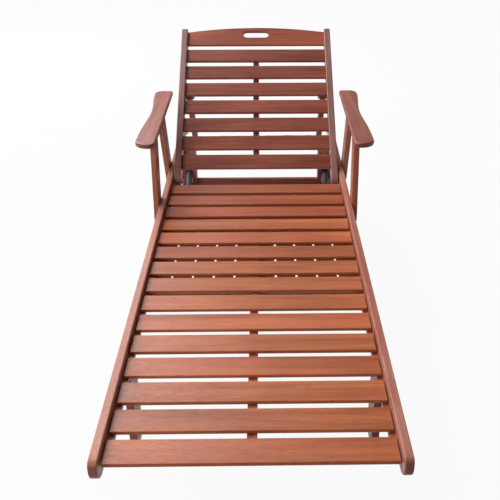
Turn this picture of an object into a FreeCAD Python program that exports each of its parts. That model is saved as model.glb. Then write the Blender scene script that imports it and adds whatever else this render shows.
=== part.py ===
"""Slatted hardwood sun lounger: reclining back on a prop, paddle arms, sliding tray, rear wheels.

Millimetres. X runs across, Y from the foot end to the head end, Z up from the floor.
While it is drawn, Y is 0 at the foot edge of the first seat slat; at the end every piece
moves together so that the origin is under the middle of the whole lounger.
"""
import FreeCAD, Part
import math
import os

from FreeCAD import Vector

# Seat
SEAT_TOP = 280.0
SLAT_COUNT = 15
SLAT_W = 66.5
SLAT_T = 8.0
SLAT_GAP = 19.1
SLAT_END_GAP = 3.3
SLAT_ROUND = 2.5
BATTEN_W = 20.0
BATTEN_T = 15.0
LEDGER_W = 13.0
LEDGER_H = 12.0
SUPPORT_INSET = 20.0
CROSS_RAIL_H = 72.0
CROSS_RAIL_T = 20.0
CROSS_RAIL_INSET = 5.0

# Side rails
RAIL_SPAN = 550.0
RAIL_T = 18.0
RAIL_H = 54.0
RAIL_RISE = 17.0
RAIL_FOOT = 16.5
RAIL_TAIL = 585.0
RAIL_ROUND = 3.0
RAIL_END_TOP = 14.0
RAIL_END_FLAT = 6.0

# Front legs
FRONT_LEG_Y = 335.0
FRONT_LEG_W = 80.0
FRONT_LEG_T = 18.0
FRONT_LEG_LAP = 9.0
FRONT_LEG_TOP_GAP = 6.0
STRETCHER_H = 36.0
STRETCHER_T = 18.0
FRONT_STRETCHER_Z = 34.0

# Rear legs and wheels
REAR_LEG_BEHIND_HINGE = 320.0
REAR_LEG_W = 45.0
REAR_LEG_OUTER_T = 18.0
REAR_LEG_INNER_T = 15.0
REAR_LEG_LAP = 9.0
REAR_LEG_LAP_TOP_GAP = 6.0
REAR_STRETCHER_BELOW_SEAT = 143.0
BRIDGE_H = 52.0
BRIDGE_GAP = 3.0
WHEEL_D = 180.0
WHEEL_W = 22.0
WHEEL_SIDE_GAP = 0.3
TYRE_T = 16.0
TYRE_SIDE_GAP = 1.0
WHEEL_WEB_T = 12.0
WHEEL_RIM_T = 16.0
HUB_D = 48.0
AXLE_D = 12.0
AXLE_CAP_D = 24.0
AXLE_CAP_T = 8.0
AXLE_CAP_GRIP = 5.0
AXLE_CAP_BEVEL = 2.0

# Backrest
BACK_ANGLE = 35.5
HINGE_BEHIND_SEAT = 50.0
STILE_D = 45.0
STILE_T = 22.0
STILE_SIDE_GAP = 3.0
STILE_PAST_RAIL = 5.0
STILE_ROUND = 3.0
BACK_RECESS = 12.5
BACK_SLAT_COUNT = 7
BACK_SLAT_W = 55.3
BACK_SLAT_GAP = 20.5
BACK_SLAT_T = 10.0
BACK_FIRST_SLAT = 45.0
BACK_HOUSING = 8.0
TOP_RAIL_END_H = 60.0
TOP_RAIL_ARCH = 22.0
HAND_HOLE_L = 92.0
HAND_HOLE_H = 27.0
HAND_HOLE_MARGIN = 19.0

# Prop and its notched slots
PROP_ALONG = 357.0
PROP_DEPTH = 34.0
PROP_W = 22.0
PROP_T = 20.0
PROP_SIDE_GAP = 3.5
PROP_ROUND = 2.5
PROP_FLAT_ANGLE = 12.0
ROD_D = 10.0
ROD_BEHIND_HINGE = 435.0
ROD_BELOW_SEAT = 10.0
SLOT_DEPTH = 7.0
SLOT_SIDE_GAP = 0.6
SLOT_CLEARANCE = 1.5
SLOT_STRAIGHT_TO = -16.0
NOTCH_DROP = 3.0
NOTCH_COUNT = 4
NOTCH_STEP = 5.0
BACK_RAISE = 6.0

# Arms
ARM_TOP_ABOVE_SEAT = 214.0
ARM_T = 15.0
ARM_LENGTH = 541.0
ARM_FRONT_Y = 1064.0
ARM_INSET = 0.5
ARM_PADDLE_W = 60.0
ARM_WAIST_W = 48.0
ARM_REAR_W = 61.0
ARM_SHOULDER_AT = 0.32
ARM_WAIST_AT = 0.58
ARM_FLARE_AT = 0.76
ARM_CORNER = 12.0
ARM_FRONT_CORNER = 38.0
ARM_FRONT_INNER_CORNER = 20.0
ARM_REAR_CORNER = 28.0
ARM_ROUND = 5.0
POST_W = 60.0
POST_T = 17.0
POST_ROUND = 3.0
FRONT_POST_Y = 1103.0
FRONT_POST_LEAN = 7.0
REAR_POST_Y = 1400.0
REAR_POST_LEAN = -24.0

# Tray
TRAY_Y = 669.0
TRAY_LENGTH = 435.0
TRAY_SLAT_COUNT = 10
TRAY_SLAT_W = 50.0
TRAY_SLAT_GAP = 6.0
TRAY_SLAT_T = 12.0
TRAY_BELOW_RAIL = 6.0
TRAY_BATTEN_W = 24.0
TRAY_BATTEN_T = 12.0
TRAY_BATTEN_INSET = 40.0
TRAY_CLEARANCE = 0.3
RUNNER_W = 42.0
RUNNER_H = 34.0
TRAY_GRIP = 13.0

# Fasteners
BOLT_D = 8.0
BOLT_HEAD_D = 18.0
BOLT_HEAD_T = 4.0
BOLT_STOP = 2.0
NUT_D = 15.0
NUT_T = 7.0
NUT_SIDES = 6
SCREW_D = 4.0
SCREW_HEAD_D = 8.0
SCREW_HEAD_T = 2.5
SCREW_BITE = 5.0
DOWEL_D = 10.0
DOWEL_IN_ARM = 9.0
DOWEL_IN_POST = 28.0
BOLT_SPREAD = 28.0
LEG_BOLT_INSET = 20.0
RUN_CLEARANCE = 0.05
REST_GAP = 0.3

# An edge with less than this extent along an axis lies square to it
FLAT = 1e-6

# Decimal places of the printed positions and of the printed ratio
DIGITS = 3
RATIO_DIGITS = 5

# Levels and places that follow from the sizes above
SLAT_PITCH = SLAT_W + SLAT_GAP
SEAT_REAR = (SLAT_COUNT - 1) * SLAT_PITCH + SLAT_W
SLAT_UNDER = SEAT_TOP - SLAT_T
CROSS_RAIL_Y = SEAT_REAR - CROSS_RAIL_INSET - CROSS_RAIL_T
RAIL_TOP = SEAT_TOP + RAIL_RISE
RAIL_BOTTOM = RAIL_TOP - RAIL_H
RAIL_MID = RAIL_TOP - RAIL_H / 2
RAIL_END_LOW = RAIL_H - RAIL_END_TOP - RAIL_END_FLAT
RAIL_IN = RAIL_SPAN / 2
RAIL_OUT = RAIL_IN + RAIL_T
HINGE_Y = SEAT_REAR + HINGE_BEHIND_SEAT
HINGE_Z = SEAT_TOP + BACK_RECESS - STILE_D / 2
RAIL_REAR = HINGE_Y + RAIL_TAIL
STILE_OUT = RAIL_IN - STILE_SIDE_GAP
STILE_IN = STILE_OUT - STILE_T
PROP_OUT = STILE_IN - PROP_SIDE_GAP
PROP_IN = PROP_OUT - PROP_T
STILE_FLAT_UNDER = HINGE_Z - STILE_D / 2
AXLE_Z = WHEEL_D / 2
AXLE_Y = HINGE_Y + REAR_LEG_BEHIND_HINGE + REAR_LEG_W / 2
OUTER_LEG_OUT = RAIL_IN + REAR_LEG_LAP
OUTER_LEG_IN = OUTER_LEG_OUT - REAR_LEG_OUTER_T
INNER_LEG_OUT = OUTER_LEG_IN - WHEEL_W - 2 * WHEEL_SIDE_GAP
INNER_LEG_IN = INNER_LEG_OUT - REAR_LEG_INNER_T
WHEEL_MID = (OUTER_LEG_IN + INNER_LEG_OUT) / 2
BRIDGE_TOP = STILE_FLAT_UNDER - BRIDGE_GAP
ARM_TOP = SEAT_TOP + ARM_TOP_ABOVE_SEAT
ARM_UNDER = ARM_TOP - ARM_T
POST_OUT = RAIL_OUT + POST_T
TRAY_TOP = RAIL_BOTTOM - TRAY_BELOW_RAIL
TRAY_UNDER = TRAY_TOP - TRAY_SLAT_T
RUNNER_BOTTOM = RAIL_BOTTOM - RUNNER_H
BACK_PITCH = BACK_SLAT_W + BACK_SLAT_GAP
TOP_RAIL_FOOT = BACK_FIRST_SLAT + BACK_SLAT_COUNT * BACK_PITCH
TOP_RAIL_END = TOP_RAIL_FOOT + TOP_RAIL_END_H
STILE_LENGTH = TOP_RAIL_END + STILE_PAST_RAIL

X_AXIS = Vector(1, 0, 0)
Y_AXIS = Vector(0, 1, 0)
Z_AXIS = Vector(0, 0, 1)
HINGE = Vector(0, HINGE_Y, HINGE_Z)


# Shape helpers
def line(p, q):
    return Part.LineSegment(p, q).toShape()


def arc(p, through, q):
    return Part.Arc(p, through, q).toShape()


def quarter(centre, radius, across, along):
    """A quarter of a circle, from the side of across round to the side of along."""
    between = (across + along).normalize()
    return arc(centre + across * radius, centre + between * radius, centre + along * radius)


def box(x0, x1, y0, y1, z0, z1):
    return Part.makeBox(x1 - x0, y1 - y0, z1 - z0, Vector(x0, y0, z0))


def plank(x0, x1, y0, y1, z0, z1, along, radius):
    """A board whose four long edges are rounded."""
    board = box(x0, x1, y0, y1, z0, z1)
    edges = [edge for edge in board.Edges if abs(edge.tangentAt(edge.FirstParameter).dot(along)) > 1 - FLAT]
    return board.makeFillet(radius, edges)


def prism_x(edges, x0, x1):
    """A side outline, drawn in the plane x = 0, made into a board from x0 to x1."""
    face = Part.Face(Part.Wire(Part.__sortEdges__(edges)))
    face.translate(Vector(x0, 0, 0))
    return face.extrude(Vector(x1 - x0, 0, 0))


def stadium(p, q, radius, x0, x1):
    """A board with a round end about p and a round end about q."""
    along = (q - p).normalize()
    across = X_AXIS.cross(along) * radius
    tip = along * radius
    edges = [
        line(p + across, q + across),
        arc(q + across, q + tip, q - across),
        line(q - across, p - across),
        arc(p - across, p - tip, p + across),
    ]
    return prism_x(edges, x0, x1)


def soften(board, radius):
    """Round the outline of both broad faces of a board that stands across X."""
    edges = [edge for edge in board.Edges if edge.BoundBox.XLength < FLAT]
    return board.makeFillet(radius, edges)


def mirrored(shape):
    return shape.mirror(Vector(0, 0, 0), X_AXIS)


def both(shapes):
    """The right-hand solids and their left-hand mirror images."""
    return shapes + [mirrored(shape) for shape in shapes]


def turned(profile, base, out):
    """A solid of revolution: (radius, height) points, with height along out from base."""
    points = [Vector(radius, 0, height) for radius, height in profile]
    face = Part.Face(Part.makePolygon(points + points[:1]))
    solid = face.revolve(Vector(0, 0, 0), Z_AXIS, 360)
    solid.Placement = FreeCAD.Placement(base, FreeCAD.Rotation(Z_AXIS, out))
    return solid


def domed_bolt(base, out, length):
    """A bolt whose low domed head sits on base and whose shank runs in for length."""
    shank = BOLT_D / 2
    head = BOLT_HEAD_D / 2
    dome = (head ** 2 + BOLT_HEAD_T ** 2) / (2 * BOLT_HEAD_T)
    half_turn = math.asin(head / dome) / 2
    on_dome = Vector(dome * math.sin(half_turn), 0, BOLT_HEAD_T - dome * (1 - math.cos(half_turn)))
    edges = [
        line(Vector(0, 0, -length), Vector(shank, 0, -length)),
        line(Vector(shank, 0, -length), Vector(shank, 0, 0)),
        line(Vector(shank, 0, 0), Vector(head, 0, 0)),
        arc(Vector(head, 0, 0), on_dome, Vector(0, 0, BOLT_HEAD_T)),
        line(Vector(0, 0, BOLT_HEAD_T), Vector(0, 0, -length)),
    ]
    solid = Part.Face(Part.Wire(edges)).revolve(Vector(0, 0, 0), Z_AXIS, 360)
    solid.Placement = FreeCAD.Placement(base, FreeCAD.Rotation(Z_AXIS, out))
    return solid


def flush_screw(base, out, length):
    """A countersunk screw with its head level with base."""
    shank = SCREW_D / 2
    head = SCREW_HEAD_D / 2
    return turned([(0, 0), (head, 0), (shank, -SCREW_HEAD_T), (shank, -length), (0, -length)], base, out)


def nut(base, out):
    """A hexagonal nut that stands on base, without its thread."""
    corners = []
    for index in range(NUT_SIDES):
        angle = 2 * math.pi * index / NUT_SIDES
        corners.append(Vector(math.cos(angle), math.sin(angle), 0) * (NUT_D / 2))
    solid = Part.Face(Part.makePolygon(corners + corners[:1])).extrude(Vector(0, 0, NUT_T))
    solid.Placement = FreeCAD.Placement(base, FreeCAD.Rotation(Z_AXIS, out))
    return solid


def rod_x(radius, x0, x1, y, z):
    return Part.makeCylinder(radius, x1 - x0, Vector(x0, y, z), X_AXIS)


def reclined(shape):
    """Turn a piece that was drawn with the back lying flat up to the back's stored angle."""
    shape.rotate(HINGE, X_AXIS, BACK_ANGLE)
    return shape


# The prop: its pivot rides on the stile, and its rod runs in the rails' slots
def prop_pivot(raised):
    """The prop's pivot when the back stands raised degrees above its stored angle."""
    angle = math.radians(BACK_ANGLE + raised)
    below = PROP_DEPTH - STILE_D / 2
    y = HINGE_Y + PROP_ALONG * math.cos(angle) + below * math.sin(angle)
    z = HINGE_Z + PROP_ALONG * math.sin(angle) - below * math.cos(angle)
    return Vector(0, y, z)


PIVOT = prop_pivot(0)
ROD = Vector(0, HINGE_Y + ROD_BEHIND_HINGE, SEAT_TOP - ROD_BELOW_SEAT)
PROP_LENGTH = (ROD - PIVOT).Length
PROP_SLOPE = math.degrees(math.atan2(PIVOT.z - ROD.z, ROD.y - PIVOT.y))
PROP_RATIO = -1 - (PROP_SLOPE - PROP_FLAT_ANGLE) / BACK_ANGLE


def rod_place(raised):
    """The rod's centre when the back stands raised degrees above its stored angle."""
    slope = math.radians(PROP_SLOPE - (PROP_RATIO + 1) * raised)
    return prop_pivot(raised) + Vector(0, math.cos(slope), -math.sin(slope)) * PROP_LENGTH


# Seat pieces
def seat_slat(index):
    half = RAIL_IN - SLAT_END_GAP
    y = index * SLAT_PITCH
    return plank(-half, half, y, y + SLAT_W, SLAT_UNDER, SEAT_TOP, X_AXIS, SLAT_ROUND)


def seat_batten():
    half = BATTEN_W / 2
    return box(-half, half, SUPPORT_INSET, CROSS_RAIL_Y, SLAT_UNDER - BATTEN_T, SLAT_UNDER)


def ledger():
    x0 = RAIL_IN - LEDGER_W
    return box(x0, RAIL_IN, SUPPORT_INSET, CROSS_RAIL_Y, SLAT_UNDER - LEDGER_H, SLAT_UNDER)


def seat_cross_rail():
    """The board between the rails that carries the last slat and ends the ledgers."""
    y1 = CROSS_RAIL_Y + CROSS_RAIL_T
    low = SLAT_UNDER - CROSS_RAIL_H
    return plank(-RAIL_IN, RAIL_IN, CROSS_RAIL_Y, y1, low, SLAT_UNDER, X_AXIS, RAIL_ROUND)


def slat_screws():
    """Screws driven up through the ledgers and the batten, so none shows on the seat."""
    screws = []
    x = RAIL_IN - (LEDGER_W + SLAT_END_GAP) / 2
    for index in range(SLAT_COUNT):
        y = index * SLAT_PITCH + SLAT_W / 2
        at_ledger = Vector(x, y, SLAT_UNDER - LEDGER_H)
        at_batten = Vector(0, y, SLAT_UNDER - BATTEN_T)
        screws += both([flush_screw(at_ledger, -Z_AXIS, LEDGER_H + SCREW_BITE)])
        screws.append(flush_screw(at_batten, -Z_AXIS, BATTEN_T + SCREW_BITE))
    return screws


# Side rail with its lap for the rear leg and the notched slot for the prop's rod
def rod_slot():
    radius = ROD_D / 2 + SLOT_CLEARANCE
    start = rod_place(BACK_RAISE)
    along = (rod_place(SLOT_STRAIGHT_TO) - start).normalize()
    down = along.cross(X_AXIS)
    if down.z > 0:
        down = -down
    x1 = RAIL_IN + SLOT_DEPTH
    slot = stadium(start, start + along * RAIL_TAIL, radius, RAIL_IN, x1)
    for index in range(NOTCH_COUNT):
        at = rod_place(BACK_RAISE - index * NOTCH_STEP)
        slot = slot.fuse(stadium(at, at + down * NOTCH_DROP, radius, RAIL_IN, x1))
    return slot


def rail():
    """A board whose ends are tightly rounded above and widely below."""
    front = -RAIL_FOOT
    t = RAIL_END_TOP
    b = RAIL_END_LOW
    high = RAIL_TOP - t
    low = RAIL_BOTTOM + b
    edges = [
        line(Vector(0, front + t, RAIL_TOP), Vector(0, RAIL_REAR - t, RAIL_TOP)),
        quarter(Vector(0, RAIL_REAR - t, high), t, Z_AXIS, Y_AXIS),
        line(Vector(0, RAIL_REAR, high), Vector(0, RAIL_REAR, low)),
        quarter(Vector(0, RAIL_REAR - b, low), b, Y_AXIS, -Z_AXIS),
        line(Vector(0, RAIL_REAR - b, RAIL_BOTTOM), Vector(0, front + b, RAIL_BOTTOM)),
        quarter(Vector(0, front + b, low), b, -Z_AXIS, -Y_AXIS),
        line(Vector(0, front, low), Vector(0, front, high)),
        quarter(Vector(0, front + t, high), t, -Y_AXIS, Z_AXIS),
    ]
    board = soften(prism_x(edges, RAIL_IN, RAIL_OUT), RAIL_ROUND)
    return board.cut(rod_slot())


# Legs and wheels
def front_leg():
    """A board that stands under the rail and laps up into the rail's inner face."""
    y0 = FRONT_LEG_Y
    y1 = FRONT_LEG_Y + FRONT_LEG_W
    leg = plank(RAIL_IN, RAIL_IN + FRONT_LEG_T, y0, y1, 0, RAIL_BOTTOM, Z_AXIS, RAIL_ROUND)
    lap_out = RAIL_IN + FRONT_LEG_LAP
    lap_top = RAIL_TOP - FRONT_LEG_TOP_GAP
    lap = box(RAIL_IN, lap_out, y0 + RAIL_ROUND, y1 - RAIL_ROUND, RAIL_BOTTOM, lap_top)
    return leg.fuse(lap).removeSplitter()


def front_stretcher():
    y = FRONT_LEG_Y + (FRONT_LEG_W - STRETCHER_T) / 2
    z = FRONT_STRETCHER_Z
    return plank(-RAIL_IN, RAIL_IN, y, y + STRETCHER_T, z, z + STRETCHER_H, X_AXIS, RAIL_ROUND)


def round_footed_leg(x0, x1, top):
    """A board that is round about the axle and square at the top."""
    r = REAR_LEG_W / 2
    edges = [
        arc(Vector(0, AXLE_Y - r, AXLE_Z), Vector(0, AXLE_Y, AXLE_Z - r), Vector(0, AXLE_Y + r, AXLE_Z)),
        line(Vector(0, AXLE_Y + r, AXLE_Z), Vector(0, AXLE_Y + r, top)),
        line(Vector(0, AXLE_Y + r, top), Vector(0, AXLE_Y - r, top)),
        line(Vector(0, AXLE_Y - r, top), Vector(0, AXLE_Y - r, AXLE_Z)),
    ]
    return prism_x(edges, x0, x1)


def rear_leg_outer():
    """The wheel's outer leg: its upper half laps into the rail's inner face."""
    lap_top = RAIL_TOP - REAR_LEG_LAP_TOP_GAP
    leg = round_footed_leg(OUTER_LEG_IN, OUTER_LEG_OUT, lap_top)
    r = REAR_LEG_W / 2
    step = box(OUTER_LEG_IN, RAIL_IN, AXLE_Y - r, AXLE_Y + r, BRIDGE_TOP, lap_top)
    shoulder = box(RAIL_IN, OUTER_LEG_OUT, AXLE_Y - r, AXLE_Y + r, RAIL_BOTTOM - REAR_LEG_LAP, RAIL_BOTTOM)
    return leg.cut(step).fuse(shoulder).removeSplitter()


def rear_leg_inner():
    return round_footed_leg(INNER_LEG_IN, INNER_LEG_OUT, BRIDGE_TOP)


def wheel_bridge():
    """The block that ties a wheel's two legs together above the tyre."""
    r = REAR_LEG_W / 2
    return box(INNER_LEG_OUT, OUTER_LEG_IN, AXLE_Y - r, AXLE_Y + r, BRIDGE_TOP - BRIDGE_H, BRIDGE_TOP)


def rear_stretcher():
    top = SEAT_TOP - REAR_STRETCHER_BELOW_SEAT
    y = AXLE_Y - STRETCHER_T / 2
    return plank(-INNER_LEG_IN, INNER_LEG_IN, y, y + STRETCHER_T, top - STRETCHER_H, top, X_AXIS, RAIL_ROUND)


def axle():
    reach = OUTER_LEG_OUT + AXLE_CAP_GRIP
    return rod_x(AXLE_D / 2, -reach, reach, AXLE_Y, AXLE_Z)


def axle_cap():
    r = AXLE_CAP_D / 2
    grip = AXLE_D / 2
    profile = [
        (grip, 0), (r, 0), (r, AXLE_CAP_T - AXLE_CAP_BEVEL), (r - AXLE_CAP_BEVEL, AXLE_CAP_T),
        (0, AXLE_CAP_T), (0, AXLE_CAP_GRIP), (grip, AXLE_CAP_GRIP),
    ]
    return turned(profile, Vector(OUTER_LEG_OUT, AXLE_Y, AXLE_Z), X_AXIS)


def wheel():
    """A turned wooden disc: hub, thin web and a rim that carries the tyre."""
    bore = AXLE_D / 2 + RUN_CLEARANCE
    hub = HUB_D / 2
    rim = WHEEL_D / 2 - TYRE_T
    lip = rim - WHEEL_RIM_T
    half = WHEEL_W / 2
    web = WHEEL_WEB_T / 2
    edge = half - TYRE_SIDE_GAP
    slope = half - web
    upper = [(bore, half), (hub, half), (hub + slope, web), (lip - slope, web), (lip, edge), (rim, edge)]
    lower = [(radius, -height) for radius, height in reversed(upper)]
    return turned(upper + lower, Vector(WHEEL_MID, AXLE_Y, AXLE_Z), X_AXIS)


def tyre():
    """A rubber band round the rim with a crowned tread."""
    inner = WHEEL_D / 2 - TYRE_T
    outer = WHEEL_D / 2
    half = WHEEL_W / 2 - TYRE_SIDE_GAP
    wall = outer - TYRE_T / 2
    edges = [
        line(Vector(inner, 0, -half), Vector(wall, 0, -half)),
        arc(Vector(wall, 0, -half), Vector(outer, 0, 0), Vector(wall, 0, half)),
        line(Vector(wall, 0, half), Vector(inner, 0, half)),
        line(Vector(inner, 0, half), Vector(inner, 0, -half)),
    ]
    solid = Part.Face(Part.Wire(edges)).revolve(Vector(0, 0, 0), Z_AXIS, 360)
    solid.Placement = FreeCAD.Placement(Vector(WHEEL_MID, AXLE_Y, AXLE_Z), FreeCAD.Rotation(Z_AXIS, X_AXIS))
    return solid


# Arms
def post_middle(y_at_rail, lean, z):
    """The Y of a post's centre line at height z."""
    return y_at_rail + (z - RAIL_TOP) * math.tan(math.radians(lean))


def arm_post(y_at_rail, lean):
    """A leaning post on the rail's outer face, cut level at the arm and at the rail's lower edge."""
    half = POST_W / 2 / math.cos(math.radians(lean))
    low = post_middle(y_at_rail, lean, RAIL_BOTTOM)
    high = post_middle(y_at_rail, lean, ARM_UNDER)
    corners = [
        Vector(0, low - half, RAIL_BOTTOM),
        Vector(0, low + half, RAIL_BOTTOM),
        Vector(0, high + half, ARM_UNDER),
        Vector(0, high - half, ARM_UNDER),
    ]
    post = prism_x(Part.makePolygon(corners + corners[:1]).Edges, RAIL_OUT, POST_OUT)
    edges = [edge for edge in post.Edges if edge.BoundBox.ZLength > ARM_UNDER - RAIL_TOP]
    return post.makeFillet(POST_ROUND, edges)


def armrest():
    """A paddle: straight inside, wide in front, drawn in to a waist and wider again at the rear."""
    inner = RAIL_OUT - ARM_INSET
    y0 = ARM_FRONT_Y
    y1 = ARM_FRONT_Y + ARM_LENGTH
    wide = inner + ARM_PADDLE_W
    rear = inner + ARM_REAR_W
    c = ARM_CORNER
    f = ARM_FRONT_CORNER
    g = ARM_FRONT_INNER_CORNER
    r = ARM_REAR_CORNER
    side = Part.BSplineCurve()
    side.interpolate(
        [
            Vector(wide, y0 + f, 0),
            Vector(inner + (2 * ARM_PADDLE_W + ARM_WAIST_W) / 3, y0 + ARM_SHOULDER_AT * ARM_LENGTH, 0),
            Vector(inner + ARM_WAIST_W, y0 + ARM_WAIST_AT * ARM_LENGTH, 0),
            Vector(inner + (ARM_REAR_W + ARM_WAIST_W) / 2, y0 + ARM_FLARE_AT * ARM_LENGTH, 0),
            Vector(rear, y1 - r, 0),
        ],
        InitialTangent=Y_AXIS,
        FinalTangent=Y_AXIS,
    )
    edges = [
        line(Vector(inner + g, y0, 0), Vector(wide - f, y0, 0)),
        quarter(Vector(wide - f, y0 + f, 0), f, -Y_AXIS, X_AXIS),
        side.toShape(),
        quarter(Vector(rear - r, y1 - r, 0), r, X_AXIS, Y_AXIS),
        line(Vector(rear - r, y1, 0), Vector(inner + c, y1, 0)),
        quarter(Vector(inner + c, y1 - c, 0), c, Y_AXIS, -X_AXIS),
        line(Vector(inner, y1 - c, 0), Vector(inner, y0 + g, 0)),
        quarter(Vector(inner + g, y0 + g, 0), g, -X_AXIS, -Y_AXIS),
    ]
    face = Part.Face(Part.Wire(edges))
    face.translate(Vector(0, 0, ARM_UNDER))
    board = face.extrude(Vector(0, 0, ARM_T))
    rims = [edge for edge in board.Edges if edge.BoundBox.ZLength < FLAT]
    return board.makeFillet(ARM_ROUND, rims)


def arm_dowels():
    """A hidden dowel between each post and the arm."""
    dowels = []
    for y_at_rail, lean in ((FRONT_POST_Y, FRONT_POST_LEAN), (REAR_POST_Y, REAR_POST_LEAN)):
        middle = post_middle(y_at_rail, lean, ARM_UNDER)
        base = Vector(RAIL_OUT + POST_T / 2, middle, ARM_UNDER - DOWEL_IN_POST)
        dowels += both([Part.makeCylinder(DOWEL_D / 2, DOWEL_IN_POST + DOWEL_IN_ARM, base)])
    return dowels


# Backrest pieces, drawn lying flat and then turned up about the hinge
def stile():
    """A side of the back: round about its hinge, square at the top, housed for the slats."""
    r = STILE_D / 2
    end = HINGE_Y + STILE_LENGTH
    low, high = HINGE_Z - r, HINGE_Z + r
    edges = [
        arc(Vector(0, HINGE_Y, high), Vector(0, HINGE_Y - r, HINGE_Z), Vector(0, HINGE_Y, low)),
        line(Vector(0, HINGE_Y, low), Vector(0, end, low)),
        line(Vector(0, end, low), Vector(0, end, high)),
        line(Vector(0, end, high), Vector(0, HINGE_Y, high)),
    ]
    board = soften(prism_x(edges, STILE_IN, STILE_OUT), STILE_ROUND)
    bore = rod_x(BOLT_D / 2 + RUN_CLEARANCE, STILE_IN, STILE_OUT, HINGE_Y, HINGE_Z)
    return reclined(board.cut(bore))


def back_slat(index):
    half = STILE_IN + BACK_HOUSING
    top = HINGE_Z + STILE_D / 2 - BACK_RECESS
    y = HINGE_Y + BACK_FIRST_SLAT + index * BACK_PITCH
    return reclined(plank(-half, half, y, y + BACK_SLAT_W, top - BACK_SLAT_T, top, X_AXIS, SLAT_ROUND))


def back_top_rail():
    """The arched top board with its hand hole."""
    half = STILE_IN + BACK_HOUSING
    foot = HINGE_Y + TOP_RAIL_FOOT
    end = HINGE_Y + TOP_RAIL_END
    peak = end + TOP_RAIL_ARCH
    top = HINGE_Z + STILE_D / 2 - BACK_RECESS
    corners = [Vector(-half, end, 0), Vector(-half, foot, 0), Vector(half, foot, 0), Vector(half, end, 0)]
    outline = Part.makePolygon(corners).Edges
    outline.append(arc(corners[3], Vector(0, peak, 0), corners[0]))
    r = HAND_HOLE_H / 2
    reach = HAND_HOLE_L / 2 - r
    middle = peak - HAND_HOLE_MARGIN - r
    hole = [
        line(Vector(-reach, middle - r, 0), Vector(reach, middle - r, 0)),
        arc(Vector(reach, middle - r, 0), Vector(reach + r, middle, 0), Vector(reach, middle + r, 0)),
        line(Vector(reach, middle + r, 0), Vector(-reach, middle + r, 0)),
        arc(Vector(-reach, middle + r, 0), Vector(-reach - r, middle, 0), Vector(-reach, middle - r, 0)),
    ]
    board = Part.Face(Part.Wire(outline)).extrude(Vector(0, 0, BACK_SLAT_T))
    level = [edge for edge in board.Edges if edge.BoundBox.ZLength < FLAT]
    long_edges = [edge for edge in level if edge.BoundBox.XLength > half]
    board = board.makeFillet(SLAT_ROUND, long_edges)
    board = board.cut(Part.Face(Part.Wire(hole)).extrude(Vector(0, 0, BACK_SLAT_T)))
    low_corner = Vector(-HAND_HOLE_L, middle - HAND_HOLE_H, -BACK_SLAT_T)
    high_corner = Vector(HAND_HOLE_L, peak - SLAT_ROUND, 2 * BACK_SLAT_T)
    around = FreeCAD.BoundBox(low_corner, high_corner)
    level = [edge for edge in board.Edges if edge.BoundBox.ZLength < FLAT]
    rims = [edge for edge in level if around.isInside(edge.BoundBox)]
    board = board.makeFillet(SLAT_ROUND, rims)
    board.translate(Vector(0, 0, top - BACK_SLAT_T))
    return reclined(board)


def back_batten():
    """The strip behind the slats, from the first one up to the last straight one."""
    top = HINGE_Z + STILE_D / 2 - BACK_RECESS - BACK_SLAT_T
    y0 = HINGE_Y + BACK_FIRST_SLAT + SUPPORT_INSET
    y1 = HINGE_Y + TOP_RAIL_FOOT - BACK_SLAT_GAP
    return reclined(box(-BATTEN_W / 2, BATTEN_W / 2, y0, y1, top - BATTEN_T, top))


# Prop pieces
def prop_leg():
    leg = soften(stadium(PIVOT, ROD, PROP_W / 2, PROP_IN, PROP_OUT), PROP_ROUND)
    return leg.cut(rod_x(BOLT_D / 2 + RUN_CLEARANCE, PROP_IN, PROP_OUT, PIVOT.y, PIVOT.z))


def prop_rod():
    reach = RAIL_IN + SLOT_DEPTH - SLOT_SIDE_GAP
    return rod_x(ROD_D / 2, -reach, reach, ROD.y, ROD.z)


def prop_bolt():
    """The prop's pivot: head let into the stile, a collar beside it, shank through the prop leg."""
    shank = BOLT_D / 2
    head = BOLT_HEAD_D / 2
    collar = -STILE_T
    leg_face = collar - PROP_SIDE_GAP + REST_GAP
    end = -(STILE_OUT - PROP_IN) - NUT_T
    profile = [
        (0, 0), (head, 0), (head, -BOLT_HEAD_T), (shank, -BOLT_HEAD_T), (shank, collar),
        (head, collar), (head, leg_face), (shank, leg_face), (shank, end), (0, end),
    ]
    return turned(profile, Vector(STILE_OUT, PIVOT.y, PIVOT.z), X_AXIS)


def prop_nut():
    return nut(Vector(PROP_IN - REST_GAP, PIVOT.y, PIVOT.z), -X_AXIS)


# Tray pieces
def tray_slats():
    width = TRAY_SLAT_COUNT * TRAY_SLAT_W + (TRAY_SLAT_COUNT - 1) * TRAY_SLAT_GAP
    slats = []
    y1 = TRAY_Y + TRAY_LENGTH
    for index in range(TRAY_SLAT_COUNT):
        x = index * (TRAY_SLAT_W + TRAY_SLAT_GAP) - width / 2
        slats.append(plank(x, x + TRAY_SLAT_W, TRAY_Y, y1, TRAY_UNDER, TRAY_TOP, Y_AXIS, SLAT_ROUND))
    return slats


def tray_battens():
    width = TRAY_SLAT_COUNT * TRAY_SLAT_W + (TRAY_SLAT_COUNT - 1) * TRAY_SLAT_GAP
    half = width / 2 - TRAY_SLAT_GAP
    near = TRAY_Y + TRAY_BATTEN_INSET
    far = TRAY_Y + TRAY_LENGTH - TRAY_BATTEN_INSET - TRAY_BATTEN_W
    low = TRAY_UNDER - TRAY_BATTEN_T
    battens = []
    for y in (near, far):
        battens.append(plank(-half, half, y, y + TRAY_BATTEN_W, low, TRAY_UNDER, X_AXIS, SLAT_ROUND))
    return battens


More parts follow.
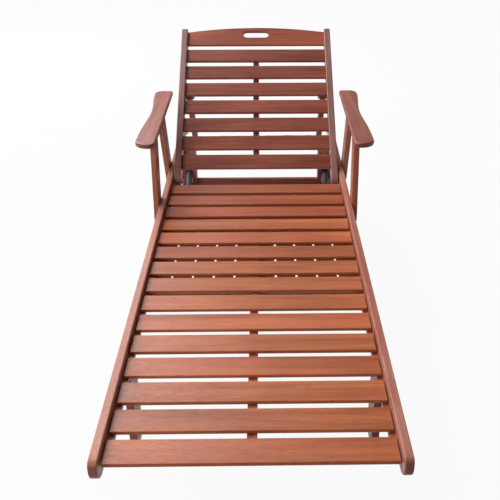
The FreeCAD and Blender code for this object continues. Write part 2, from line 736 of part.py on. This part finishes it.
def tray_runners():
    """Grooved bars under the rails; the tray slats' ends slide in the grooves."""
    tray_end = TRAY_Y + TRAY_LENGTH
    low = TRAY_UNDER - TRAY_CLEARANCE
    high = TRAY_TOP + TRAY_CLEARANCE
    groove = box(-RAIL_OUT, RAIL_OUT, TRAY_Y - TRAY_CLEARANCE, tray_end + TRAY_CLEARANCE, low, high)
    runners = []
    for y in (TRAY_Y + TRAY_GRIP - RUNNER_W, tray_end - TRAY_GRIP):
        bar = plank(-RAIL_OUT, RAIL_OUT, y, y + RUNNER_W, RUNNER_BOTTOM, RAIL_BOTTOM, X_AXIS, SLAT_ROUND)
        runners.append(bar.cut(groove))
    return runners


# Bolts
def hinge_bolts():
    """Each side: a bolt through the rail and the stile, a spacer between them and a nut inside."""
    length = RAIL_OUT - STILE_IN + NUT_T + REST_GAP
    bolt = domed_bolt(Vector(RAIL_OUT, HINGE_Y, HINGE_Z), X_AXIS, length)
    collar = rod_x(BOLT_HEAD_D / 2, STILE_OUT + REST_GAP, RAIL_IN, HINGE_Y, HINGE_Z).cut(bolt)
    inner_nut = nut(Vector(STILE_IN - REST_GAP, HINGE_Y, HINGE_Z), -X_AXIS).cut(bolt)
    return both([bolt, collar, inner_nut])


def post_bolts():
    """Two bolts through the foot of each arm post, ending inside the rail."""
    bolts = []
    for y_at_rail, lean in ((FRONT_POST_Y, FRONT_POST_LEAN), (REAR_POST_Y, REAR_POST_LEAN)):
        for z in (RAIL_MID - BOLT_SPREAD / 2, RAIL_MID + BOLT_SPREAD / 2):
            base = Vector(POST_OUT, post_middle(y_at_rail, lean, z), z)
            bolts += both([domed_bolt(base, X_AXIS, POST_T + RAIL_T - BOLT_STOP)])
    return bolts


def leg_bolts():
    """Two bolts through the rail into the lap of each front leg, from outside."""
    bolts = []
    for y in (FRONT_LEG_Y + LEG_BOLT_INSET, FRONT_LEG_Y + FRONT_LEG_W - LEG_BOLT_INSET):
        bolts += both([domed_bolt(Vector(RAIL_OUT, y, RAIL_MID), X_AXIS, RAIL_T - BOLT_STOP)])
    return bolts


# Put the pieces together
def pair(name, shape):
    return {name + "_right": shape, name + "_left": mirrored(shape)}


def build():
    nodes = {}
    nodes.update(pair("rail", rail()))
    nodes.update(pair("ledger", ledger()))
    for index in range(SLAT_COUNT):
        nodes["seat_slat_%02d" % (index + 1)] = seat_slat(index)
    nodes["seat_batten"] = seat_batten()
    nodes["seat_cross_rail"] = seat_cross_rail()
    nodes.update(pair("front_leg", front_leg()))
    nodes["front_stretcher"] = front_stretcher()
    nodes.update(pair("rear_leg_outer", rear_leg_outer()))
    nodes["rear_legs_inner"] = Part.makeCompound(both([rear_leg_inner()]))
    nodes["wheel_bridges"] = Part.makeCompound(both([wheel_bridge()]))
    nodes["rear_stretcher"] = rear_stretcher()
    nodes["axle"] = axle()
    nodes["axle_caps"] = Part.makeCompound(both([axle_cap()]))
    nodes.update(pair("wheel", wheel()))
    nodes.update(pair("tyre", tyre()))
    nodes["arm_posts_front"] = Part.makeCompound(both([arm_post(FRONT_POST_Y, FRONT_POST_LEAN)]))
    nodes["arm_posts_rear"] = Part.makeCompound(both([arm_post(REAR_POST_Y, REAR_POST_LEAN)]))
    nodes.update(pair("armrest", armrest()))
    nodes["arm_dowels"] = Part.makeCompound(arm_dowels())
    nodes.update(pair("stile", stile()))
    for index in range(BACK_SLAT_COUNT):
        nodes["back_slat_%d" % (index + 1)] = back_slat(index)
    nodes["back_top_rail"] = back_top_rail()
    nodes["back_batten"] = back_batten()
    nodes["prop_legs"] = Part.makeCompound(both([prop_leg()]))
    nodes["prop_rod"] = prop_rod()
    bolt = prop_bolt()
    nodes["prop_bolts"] = Part.makeCompound(both([bolt, prop_nut().cut(bolt)]))
    nodes["tray_slats"] = Part.makeCompound(tray_slats())
    nodes["tray_battens"] = Part.makeCompound(tray_battens())
    nodes["tray_runners"] = Part.makeCompound(tray_runners())
    nodes["hinge_bolts"] = Part.makeCompound(hinge_bolts())
    nodes["frame_bolts"] = Part.makeCompound(post_bolts() + leg_bolts())
    nodes["slat_screws"] = Part.makeCompound(slat_screws())
    return nodes


def seat_pieces(nodes):
    """Cut each piece where another is let into it, so that the two meet face to face."""
    slats = ["seat_slat_%02d" % (index + 1) for index in range(SLAT_COUNT)]
    back = ["back_slat_%d" % (index + 1) for index in range(BACK_SLAT_COUNT)] + ["back_top_rail"]
    sides = ("right", "left")
    rails = ["rail_" + side for side in sides]
    ledgers = ["ledger_" + side for side in sides]
    stiles = ["stile_" + side for side in sides]
    front_legs = ["front_leg_" + side for side in sides]
    outer_legs = ["rear_leg_outer_" + side for side in sides]
    lets = [
        (rails, front_legs + outer_legs),
        (outer_legs + ["rear_legs_inner"], ["axle"]),
        (stiles, back),
        (stiles, ["prop_bolts"]),
        (["prop_legs"], ["prop_rod"]),
        (rails, ["hinge_bolts", "frame_bolts"]),
        (["arm_posts_front", "arm_posts_rear"], ["frame_bolts", "arm_dowels"]),
        (["armrest_" + side for side in sides], ["arm_dowels"]),
        (front_legs, ["frame_bolts"]),
        (ledgers + slats + ["seat_batten"], ["slat_screws"]),
    ]
    for hosts, inserts in lets:
        cutter = Part.makeCompound([nodes[name] for name in inserts])
        for host in hosts:
            nodes[host] = nodes[host].cut(cutter)


def main():
    nodes = build()
    seat_pieces(nodes)
    bounds = Part.makeCompound(list(nodes.values())).optimalBoundingBox(False)
    shift = Vector(-bounds.Center.x, -bounds.Center.y, -bounds.ZMin)
    os.makedirs("parts", exist_ok=True)
    for name, shape in nodes.items():
        shape.translate(shift)
        shape.exportStep("parts/%s.step" % name)
    print("nodes", len(nodes), "size", bounds.XLength, bounds.YLength, bounds.ZLength)
    places = {"hinge": HINGE, "prop pivot": PIVOT, "rod": ROD, "axle": Vector(0, AXLE_Y, AXLE_Z)}
    for label, point in places.items():
        print(label, [round(value, DIGITS) for value in point + shift])
    print("shift", [round(value, DIGITS) for value in shift], "prop ratio", round(PROP_RATIO, RATIO_DIGITS))
    for name, shape in nodes.items():
        if not shape.isValid() or shape.Volume <= 0:
            print("check the shape of", name, shape.isValid(), shape.Volume)


main()
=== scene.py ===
"""Looks of the slatted hardwood sun lounger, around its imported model. Metres, in the model's frame."""

import math

import bpy
from mathutils import Matrix, Vector

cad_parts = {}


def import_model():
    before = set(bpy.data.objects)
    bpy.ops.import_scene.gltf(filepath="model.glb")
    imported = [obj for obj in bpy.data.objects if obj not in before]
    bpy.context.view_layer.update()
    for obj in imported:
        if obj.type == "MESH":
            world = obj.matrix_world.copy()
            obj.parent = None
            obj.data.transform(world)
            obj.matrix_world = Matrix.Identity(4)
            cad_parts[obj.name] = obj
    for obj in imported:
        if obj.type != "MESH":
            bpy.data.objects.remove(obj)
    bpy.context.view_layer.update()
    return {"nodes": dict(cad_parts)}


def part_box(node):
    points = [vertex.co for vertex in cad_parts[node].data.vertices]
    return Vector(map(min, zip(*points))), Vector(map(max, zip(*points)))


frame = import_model()

# The camera, measured from the foot edge of the seat at the height of the slats' tops
CAMERA_FROM_SEAT = Vector((0.0269, -1.0266, 0.9904))
CAMERA_PITCH = math.radians(28.314)
CAMERA_YAW = math.radians(0.867)
SENSOR_MM = 36.0
IMAGE_PX = 500.0
FOCAL_PX = 760.0
# The photograph is cropped, so its optical centre lies right of the picture's middle
CENTRE_RIGHT_PX = 25.0

# Tilts of the leaning boards about X, as the model has them
BACK_TILT = math.radians(35.5)
PROP_TILT = math.radians(-55.2)
FRONT_POST_TILT = math.radians(-7.0)
REAR_POST_TILT = math.radians(24.0)

# Wood tones: dark figure, body and light figure of each kind of board
SEAT_TONES = ((0.32, 0.078, 0.028), (0.48, 0.136, 0.050), (0.56, 0.182, 0.076))
# The three seat slats nearest the back are darker as painted shade of the back and arms; the boards under
# the seat take these tones too
SEAT_REAR_TONES = ((0.25, 0.051, 0.019), (0.37, 0.089, 0.034), (0.44, 0.120, 0.052))
# The back's boards are darker than the seat's partly as painted shade, for the back faces away from the
# window; legs, props, back battens and the rear stretcher take these tones too
BACK_TONES = ((0.21, 0.050, 0.028), (0.32, 0.090, 0.052), (0.39, 0.128, 0.076))
TOP_TONES = ((0.26, 0.054, 0.027), (0.39, 0.096, 0.050), (0.47, 0.136, 0.072))
ARM_TONES = ((0.20, 0.048, 0.030), (0.30, 0.083, 0.054), (0.36, 0.117, 0.078))
# Stiles: their wood, made paler and greyer as a painted sheen of the window on their faces
STILE_SHEEN_TONES = ((0.22, 0.088, 0.072), (0.32, 0.145, 0.128), (0.38, 0.185, 0.165))
# Rails: their wood, paler and greyer than the other frame boards as a painted sheen on their tops
RAIL_SHEEN_TONES = ((0.33, 0.110, 0.074), (0.48, 0.203, 0.146), (0.56, 0.255, 0.192))
FRAME_TONES = ((0.30, 0.085, 0.045), (0.45, 0.155, 0.092), (0.53, 0.205, 0.130))
END_GRAIN = (0.115, 0.038, 0.024)
PORE = (0.075, 0.024, 0.016)

# Sheen of the wood: most boards are oiled, rails, legs and ledgers are drier, arms and stiles smoother
WOOD_ROUGHNESS = 0.36
ARM_ROUGHNESS = 0.33
OILED_SPECULAR = 0.25
DRY_SPECULAR = 0.16
SMOOTH_SPECULAR = 0.40
SHEEN_TINT = (0.72, 0.88, 1.0, 1.0)

# How far the boards of one kind differ in lightness and in hue, which the turns keep apart
BOARD_SPREAD = 0.1
EVEN = 0.0
BOARD_HUES = (0.497, 0.503)
HUE_TURNS = 7.3

# Scales of the wood's figure, per metre, across the grain; along it they are stretched
GRAIN_STRETCH = 0.055
FIGURE_SCALE = 26.0
STREAK_SCALE = 150.0
PORE_SCALE = 820.0
CLOUD_SCALE = 3.2
# How far apart the boards lie in the noise, along each axis
BOARD_SHIFTS = {"X": 37.0, "Y": 22.57, "Z": 13.69}

# Levels of the noise between which the wood's figure sets in, and how strongly it shows
FIGURE_LEVELS = (0.36, 0.66)
LIGHT_STREAK_LEVELS = (0.48, 0.78)
LIGHT_STREAK_SHARE = 0.55
DARK_STREAK_LEVELS = (0.25, 0.42)
DARK_STREAK_SHARE = 0.35
PORE_LEVELS = (0.56, 0.70)
PORE_SHARE = 0.42
CLOUD_LEVELS = (0.3, 0.7)
CLOUD_LIFTS = (0.88, 1.1)

# Sawn ends: how squarely a face meets the grain where they set in, their specks and their dullness
END_FACING = (0.75, 0.97)
END_SPECK_LEVELS = (0.4, 0.7)
END_SHARE = 0.75
END_DULLNESS = 0.2

# Levels of the noise between which other tones and the sheen of all surfaces change
TONE_LEVELS = (0.35, 0.7)
SHEEN_LEVELS = (0.3, 0.7)
WOOD_SHEEN_STEPS = (-0.05, 0.09)
METAL_SHEEN_STEPS = (-0.06, 0.1)

# Fine relief of the surfaces: height in metres and strength
WOOD_RELIEF = (0.0004, 0.35)
STREAK_RELIEF_SHARE = 0.4
RUBBER_RELIEF = (0.0003, 0.3)
METAL_RELIEF = (0.0001, 0.3)
PLASTIC_RELIEF = (0.0002, 0.2)

# Tyres, bolts, rods and axle caps: tones, roughness and scales of their noise per metre
# The tyre's tones are lighter and bluer than black rubber as a painted reflection of the sky
RUBBER_AND_SKY_TONES = ((0.055, 0.066, 0.085), (0.105, 0.125, 0.155))
RUBBER_ROUGHNESS = (0.46, 0.62)
RUBBER_BLOOM_SCALE = 22.0
RUBBER_SKIN_SCALE = 900.0
BOLT_TONE = (0.34, 0.32, 0.29)
BOLT_ROUGHNESS = 0.38
ROD_TONE = (0.66, 0.66, 0.67)
ROD_ROUGHNESS = 0.28
METAL_DULL_SHARE = 0.78
METAL_PATCH_SCALE = 60.0
METAL_MARK_SCALE = 2400.0
METAL_MARK_STRETCH = (1.0, 0.1, 0.1)
PLASTIC_TONES = ((0.014, 0.014, 0.015), (0.03, 0.03, 0.032))
PLASTIC_ROUGHNESS = (0.38, 0.5)
PLASTIC_CLOUD_SCALE = 40.0
PLASTIC_GRAIN_SCALE = 1400.0

# The floor looks white to the camera, keeps a faint shadow and lights the object as pale grey paper does
FLOOR_SIZE = 20.0
FLOOR_TONE = (0.52, 0.52, 0.52, 1.0)
FLOOR_WHITE_SHARE = 0.94

# The surroundings: a white backdrop up to a low height and a dim ceiling, and their even light
WHITE = (1.0, 1.0, 1.0, 1.0)
WORLD_STRENGTH = 0.19
BACKDROP_STRENGTH = 1.0
CEILING_STRENGTH = 0.10
BACKDROP_TOP = math.sin(math.radians(9.0))
CEILING_FROM = math.sin(math.radians(13.0))

# Two square softboxes and the point they face
LIT_POINT = Vector((0.0, 0.1, 0.4))
WINDOW_PLACE = Vector((-2.3, 3.0, 4.0))
WINDOW_SIDE = 4.0
WINDOW_WATTS = 435.0
FILL_PLACE = Vector((-2.0, -1.6, 1.5))
FILL_SIDE = 1.6
FILL_WATTS = 36.0

# The colour mix node's sockets, which share their names with sockets of other types
MIX_FACTOR = 0
MIX_COLOURS = (6, 7)
MIX_RESULT = 2


class Nodes:
    """The nodes of a material or a world under construction, with short calls for each kind."""

    def __init__(self, owner, output):
        owner.use_nodes = True
        self.owner = owner
        self.tree = owner.node_tree
        self.tree.nodes.clear()
        self.output = self.node(output)

    def node(self, kind, **settings):
        made = self.tree.nodes.new(kind)
        for key, value in settings.items():
            setattr(made, key, value)
        return made

    def fill(self, socket, value):
        """Give a socket a value, or link it to another node's output."""
        if isinstance(value, bpy.types.NodeSocket):
            self.tree.links.new(value, socket)
        else:
            socket.default_value = value

    def math(self, operation, a, b=0.0):
        made = self.node("ShaderNodeMath", operation=operation)
        self.fill(made.inputs[0], a)
        self.fill(made.inputs[1], b)
        return made.outputs["Value"]

    def vector_math(self, operation, a, b):
        made = self.node("ShaderNodeVectorMath", operation=operation)
        self.fill(made.inputs[0], a)
        self.fill(made.inputs[1], b)
        return made.outputs

    def turned(self, vector, angle):
        """A vector turned about X."""
        made = self.node("ShaderNodeVectorRotate", rotation_type="X_AXIS")
        self.fill(made.inputs["Vector"], vector)
        self.fill(made.inputs["Angle"], angle)
        return made.outputs["Vector"]

    def noise(self, vector, scale, detail=3.0, roughness=0.55, distortion=0.0):
        made = self.node("ShaderNodeTexNoise")
        self.fill(made.inputs["Vector"], vector)
        self.fill(made.inputs["Scale"], scale)
        self.fill(made.inputs["Detail"], detail)
        self.fill(made.inputs["Roughness"], roughness)
        self.fill(made.inputs["Distortion"], distortion)
        return made.outputs["Fac"]

    def span(self, value, low, high, to_low=0.0, to_high=1.0):
        """Map low..high to to_low..to_high, held at the ends."""
        made = self.node("ShaderNodeMapRange", clamp=True)
        for name, number in (("Value", value), ("From Min", low), ("From Max", high),
                             ("To Min", to_low), ("To Max", to_high)):
            self.fill(made.inputs[name], number)
        return made.outputs["Result"]

    def mix(self, factor, *colours):
        """Mix two colours, each an output of a node or a plain tone."""
        made = self.node("ShaderNodeMix", data_type="RGBA")
        self.fill(made.inputs[MIX_FACTOR], factor)
        for place, colour in zip(MIX_COLOURS, colours):
            linked = isinstance(colour, bpy.types.NodeSocket)
            self.fill(made.inputs[place], colour if linked else (*colour, 1.0))
        return made.outputs[MIX_RESULT]

    def bump(self, height, distance, strength):
        made = self.node("ShaderNodeBump")
        self.fill(made.inputs["Height"], height)
        self.fill(made.inputs["Distance"], distance)
        self.fill(made.inputs["Strength"], strength)
        return made.outputs["Normal"]

    def seen(self):
        """1 for what the camera sees, itself or in a reflection or through glass, and 0 for light."""
        path = self.node("ShaderNodeLightPath").outputs
        reflected = self.math("MAXIMUM", path["Is Glossy Ray"], path["Is Transmission Ray"])
        return self.math("MAXIMUM", path["Is Camera Ray"], reflected)

    def finish(self, shader):
        """Link the last shader to the output."""
        self.fill(self.output.inputs["Surface"], shader)
        return self.owner

    def surface(self, **inputs):
        """Finish with a principled surface whose sockets take these values or links."""
        made = self.node("ShaderNodeBsdfPrincipled")
        for name, value in inputs.items():
            self.fill(made.inputs[name.replace("_", " ")], value)
        return self.finish(made.outputs["BSDF"])


def new_material(name):
    return Nodes(bpy.data.materials.new(name), "ShaderNodeOutputMaterial")


def wood(name, tones, along, tilt=0.0, rough=WOOD_ROUGHNESS, specular=OILED_SPECULAR, spread=BOARD_SPREAD):
    """Reddish hardwood with its grain along an axis, which may lean by tilt about X."""
    s = new_material(name)
    place = s.node("ShaderNodeTexCoord").outputs
    board = s.node("ShaderNodeObjectInfo").outputs["Random"]
    dark, body, light = tones

    # The board's own frame, shifted so that no two boards share a figure
    shift = s.node("ShaderNodeCombineXYZ")
    for axis, distance in BOARD_SHIFTS.items():
        s.fill(shift.inputs[axis], s.math("MULTIPLY", board, distance))
    level = s.turned(place["Object"], -tilt)
    moved = s.vector_math("ADD", level, shift.outputs["Vector"])["Vector"]
    stretch = tuple(GRAIN_STRETCH if axis == along else 1.0 for axis in "XYZ")
    grain = s.vector_math("MULTIPLY", moved, stretch)["Vector"]

    # Figure, streaks, pores and broad clouds of colour
    figure = s.noise(grain, FIGURE_SCALE, detail=4.0, distortion=0.6)
    streak = s.noise(grain, STREAK_SCALE, roughness=0.6)
    pore = s.span(s.noise(grain, PORE_SCALE, detail=2.0, roughness=0.5), *PORE_LEVELS)
    cloud = s.noise(moved, CLOUD_SCALE, detail=2.0)
    colour = s.mix(s.span(figure, *FIGURE_LEVELS), dark, body)
    colour = s.mix(s.span(streak, *LIGHT_STREAK_LEVELS, 0.0, LIGHT_STREAK_SHARE), colour, light)
    colour = s.mix(s.span(streak, *DARK_STREAK_LEVELS, DARK_STREAK_SHARE, 0.0), colour, dark)
    colour = s.mix(s.math("MULTIPLY", pore, PORE_SHARE), colour, PORE)

    # Lighter and darker boards, slightly redder or more orange
    cloud_lift = s.span(cloud, *CLOUD_LEVELS, *CLOUD_LIFTS)
    board_lift = s.span(board, 0.0, 1.0, -spread, spread)
    turn = s.math("FRACT", s.math("MULTIPLY", board, HUE_TURNS))
    varied = s.node("ShaderNodeHueSaturation")
    s.fill(varied.inputs["Hue"], s.span(turn, 0.0, 1.0, *BOARD_HUES))
    s.fill(varied.inputs["Value"], s.math("ADD", cloud_lift, board_lift))
    s.fill(varied.inputs["Color"], colour)

    # Sawn ends are darker and drier than the faces
    grain_axis = tuple(1.0 if axis == along else 0.0 for axis in "XYZ")
    facing = s.vector_math("DOT_PRODUCT", s.turned(place["Normal"], -tilt), grain_axis)["Value"]
    end = s.span(s.math("ABSOLUTE", facing), *END_FACING)
    speck = s.noise(moved, PORE_SCALE, detail=2.0)
    end_colour = s.mix(s.span(speck, *END_SPECK_LEVELS), END_GRAIN, dark)

    face_roughness = s.span(streak, *SHEEN_LEVELS, *(rough + step for step in WOOD_SHEEN_STEPS))
    relief = s.math("SUBTRACT", s.math("MULTIPLY", streak, STREAK_RELIEF_SHARE), pore)
    return s.surface(
        Base_Color=s.mix(s.math("MULTIPLY", end, END_SHARE), varied.outputs["Color"], end_colour),
        Roughness=s.math("ADD", face_roughness, s.math("MULTIPLY", end, END_DULLNESS)),
        Specular_IOR_Level=specular,
        Specular_Tint=SHEEN_TINT,
        Normal=s.bump(relief, *WOOD_RELIEF),
    )


def rubber():
    """Dark tyre rubber with a cloudy bloom and a pebbled skin, its tones lighter and bluer as a painted
    reflection of the sky.
    """
    s = new_material("tyre_rubber")
    place = s.node("ShaderNodeTexCoord").outputs["Object"]
    bloom = s.noise(place, RUBBER_BLOOM_SCALE, detail=4.0)
    skin = s.noise(place, RUBBER_SKIN_SCALE, detail=2.0)
    return s.surface(
        Base_Color=s.mix(s.span(bloom, *TONE_LEVELS), *RUBBER_AND_SKY_TONES),
        Roughness=s.span(bloom, *SHEEN_LEVELS, *RUBBER_ROUGHNESS),
        Normal=s.bump(skin, *RUBBER_RELIEF),
    )


def metal(name, tone, rough):
    """Plated steel with fine turning marks and slightly dull patches."""
    s = new_material(name)
    place = s.node("ShaderNodeTexCoord").outputs["Object"]
    around = s.vector_math("MULTIPLY", place, METAL_MARK_STRETCH)["Vector"]
    marks = s.noise(around, METAL_MARK_SCALE, detail=2.0)
    patch = s.noise(place, METAL_PATCH_SCALE)
    dull_tone = tuple(METAL_DULL_SHARE * channel for channel in tone)
    return s.surface(
        Base_Color=s.mix(s.span(patch, *TONE_LEVELS), dull_tone, tone),
        Metallic=1.0,
        Roughness=s.span(patch, *SHEEN_LEVELS, *(rough + step for step in METAL_SHEEN_STEPS)),
        Normal=s.bump(marks, *METAL_RELIEF),
    )


def plastic():
    """Black moulded plastic with a faint grain."""
    s = new_material("cap_plastic")
    place = s.node("ShaderNodeTexCoord").outputs["Object"]
    cloud = s.noise(place, PLASTIC_CLOUD_SCALE)
    grain = s.noise(place, PLASTIC_GRAIN_SCALE, detail=2.0)
    return s.surface(
        Base_Color=s.mix(s.span(cloud, *TONE_LEVELS), *PLASTIC_TONES),
        Roughness=s.span(grain, *SHEEN_LEVELS, *PLASTIC_ROUGHNESS),
        Normal=s.bump(grain, *PLASTIC_RELIEF),
    )


def dress():
    """Give every node its material: the first kind below whose name the node's name starts with."""
    # The three slats nearest the back get darker tones as painted shade of the back and arms
    rear_slat = wood("seat_rear_slat_painted_shade_wood", SEAT_REAR_TONES, "X")
    # The back's darker tones are partly painted shade
    back_slat = wood("back_slat_wood", BACK_TONES, "X")
    cross = wood("cross_wood", FRAME_TONES, "X")
    upright = wood("upright_wood", FRAME_TONES, "Z", specular=DRY_SPECULAR)
    leg = wood("leg_wood", BACK_TONES, "Z", specular=DRY_SPECULAR)
    under_seat = wood("under_seat_wood", SEAT_REAR_TONES, "Y", specular=DRY_SPECULAR, spread=EVEN)
    arm = wood("arm_wood", ARM_TONES, "Y", rough=ARM_ROUGHNESS, specular=SMOOTH_SPECULAR, spread=EVEN)
    bolts = metal("bolt_steel", BOLT_TONE, BOLT_ROUGHNESS)
    steel = metal("rod_steel", ROD_TONE, ROD_ROUGHNESS)
    kinds = {
        "seat_slat_13": rear_slat,
        "seat_slat_14": rear_slat,
        "seat_slat_15": rear_slat,
        "seat_slat": wood("seat_slat_wood", SEAT_TONES, "X"),
        "seat_cross": cross,
        "seat_batten": under_seat,
        # The rails' paler, greyer tones are partly painted sheen
        "rail": wood("rail_painted_sheen_wood", RAIL_SHEEN_TONES, "Y", specular=DRY_SPECULAR, spread=EVEN),
        "ledger": under_seat,
        "front_leg": leg,
        "front_stretcher": cross,
        "rear_leg": leg,
        "rear_stretcher": back_slat,
        "wheel": upright,
        "tyre": rubber(),
        "axle_caps": plastic(),
        "axle": steel,
        "prop_rod": steel,
        "prop_bolts": bolts,
        "prop_legs": wood("prop_wood", BACK_TONES, "Y", PROP_TILT),
        "arm_posts_front": wood("front_post_wood", FRAME_TONES, "Z", FRONT_POST_TILT),
        "arm_posts_rear": wood("rear_post_wood", FRAME_TONES, "Z", REAR_POST_TILT),
        "arm_dowels": upright,
        "armrest": arm,
        # The stiles' paler, greyer tones are painted sheen
        "stile": wood("stile_painted_sheen_wood", STILE_SHEEN_TONES, "Y", BACK_TILT, specular=SMOOTH_SPECULAR, spread=EVEN),
        "back_batten": wood("back_batten_wood", BACK_TONES, "Y", BACK_TILT),
        "back_top": wood("back_top_wood", TOP_TONES, "X"),
        "back": back_slat,
        "tray_slats": under_seat,
        "tray": cross,
        "hinge_bolts": bolts,
        "frame_bolts": bolts,
        "slat_screws": bolts,
    }
    for name, node in frame["nodes"].items():
        kind = next(start for start in kinds if name.startswith(start))
        node.data.materials.clear()
        node.data.materials.append(kinds[kind])


def floor():
    """A pale floor on the stage: paper as light meets it, nearly white as it is seen."""
    s = new_material("floor_paper")
    paper = s.node("ShaderNodeBsdfDiffuse")
    s.fill(paper.inputs["Color"], FLOOR_TONE)
    white = s.node("ShaderNodeEmission")
    s.fill(white.inputs["Color"], WHITE)
    share = s.math("MULTIPLY", s.seen(), FLOOR_WHITE_SHARE)
    blend = s.node("ShaderNodeMixShader")
    for socket, value in zip(blend.inputs, (share, paper.outputs["BSDF"], white.outputs["Emission"])):
        s.fill(socket, value)
    half = FLOOR_SIZE / 2
    corners = [(-half, -half, 0.0), (half, -half, 0.0), (half, half, 0.0), (-half, half, 0.0)]
    mesh = bpy.data.meshes.new("floor")
    mesh.from_pydata(corners, [], [(0, 1, 2, 3)])
    mesh.materials.append(s.finish(blend.outputs["Shader"]))
    plane = bpy.data.objects.new("floor", mesh)
    bpy.context.scene.collection.objects.link(plane)


def world():
    """What the camera and reflections see is a white backdrop; as light it is even and dimmer."""
    s = Nodes(bpy.data.worlds.new("studio"), "ShaderNodeOutputWorld")
    height = s.node("ShaderNodeSeparateXYZ")
    s.fill(height.inputs["Vector"], s.node("ShaderNodeTexCoord").outputs["Generated"])
    backdrop = s.span(height.outputs["Z"], BACKDROP_TOP, CEILING_FROM, BACKDROP_STRENGTH, CEILING_STRENGTH)
    sky = s.node("ShaderNodeBackground")
    s.fill(sky.inputs["Color"], WHITE)
    s.fill(sky.inputs["Strength"], s.span(s.seen(), 0.0, 1.0, WORLD_STRENGTH, backdrop))
    bpy.context.scene.world = s.finish(sky.outputs["Background"])


def softbox(name, place, side, watts):
    light = bpy.data.lights.new(name, "AREA")
    light.shape = "SQUARE"
    light.size = side
    light.energy = watts
    lamp = bpy.data.objects.new(name, light)
    aim = (LIT_POINT - place).to_track_quat("-Z", "Y")
    lamp.matrix_world = Matrix.Translation(place) @ aim.to_matrix().to_4x4()
    lamp.visible_camera = False
    bpy.context.scene.collection.objects.link(lamp)


def lights():
    """A large softbox high behind on the left, and a smaller low one at the left in front."""
    softbox("window", WINDOW_PLACE, WINDOW_SIDE, WINDOW_WATTS)
    softbox("side", FILL_PLACE, FILL_SIDE, FILL_WATTS)


def camera():
    """The photograph's view, from in front of the foot end and above it."""
    seat_low, seat_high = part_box("seat_slat_01")
    place = Vector((0.0, seat_low.y, seat_high.z)) + CAMERA_FROM_SEAT
    forward = Vector((
        math.sin(CAMERA_YAW) * math.cos(CAMERA_PITCH),
        math.cos(CAMERA_YAW) * math.cos(CAMERA_PITCH),
        -math.sin(CAMERA_PITCH),
    ))
    right = Vector((math.cos(CAMERA_YAW), -math.sin(CAMERA_YAW), 0.0))
    lens = bpy.data.cameras.new("photo_view")
    lens.sensor_width = SENSOR_MM
    lens.lens = SENSOR_MM * FOCAL_PX / IMAGE_PX
    lens.shift_x = -CENTRE_RIGHT_PX / IMAGE_PX
    eye = bpy.data.objects.new("photo_view", lens)
    turn = Matrix((right, right.cross(forward), -forward)).transposed()
    eye.matrix_world = Matrix.Translation(place) @ turn.to_4x4()
    bpy.context.scene.collection.objects.link(eye)
    bpy.context.scene.camera = eye


dress()
floor()
world()
lights()
camera()
bpy.context.scene.view_settings.view_transform = "Standard"
